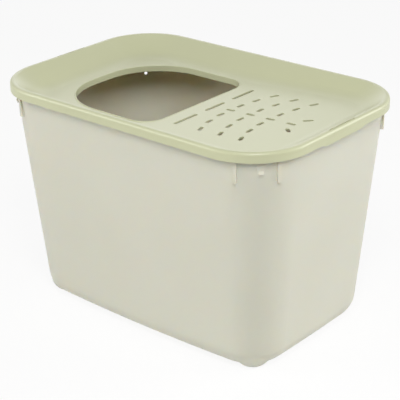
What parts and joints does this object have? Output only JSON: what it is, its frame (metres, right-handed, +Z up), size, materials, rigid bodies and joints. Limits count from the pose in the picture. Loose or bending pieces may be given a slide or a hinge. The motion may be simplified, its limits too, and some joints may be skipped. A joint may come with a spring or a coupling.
{
  "type": "top entry litter box",
  "caption": "Deep tapered litter tub with a lift-off dished lid that has a large D-shaped entry opening and a field of litter slots.",
  "frame": {"origin": "on the floor under the middle of the box, at the level of the foot soles", "axes": "+Z up, +X along the box from the entry towards the slotted end of the lid, -Y one of the two long sides"},
  "size_m": [0.585, 0.39, 0.393],
  "materials": {
    "ivory_plastic": "satin injection-moulded polypropylene, ivory",
    "green_plastic": "satin injection-moulded polypropylene, pale grey-green"
  },
  "bodies": {
    "tub": {"tub": "ivory_plastic"},
    "lid": {"lid": "green_plastic"}
  },
  "joints": [
    {"name": "lid_lift", "type": "slide", "parent": "tub", "child": "lid", "axis": [0, 0, 1], "range_m": [0, 0.12]}
  ]
}
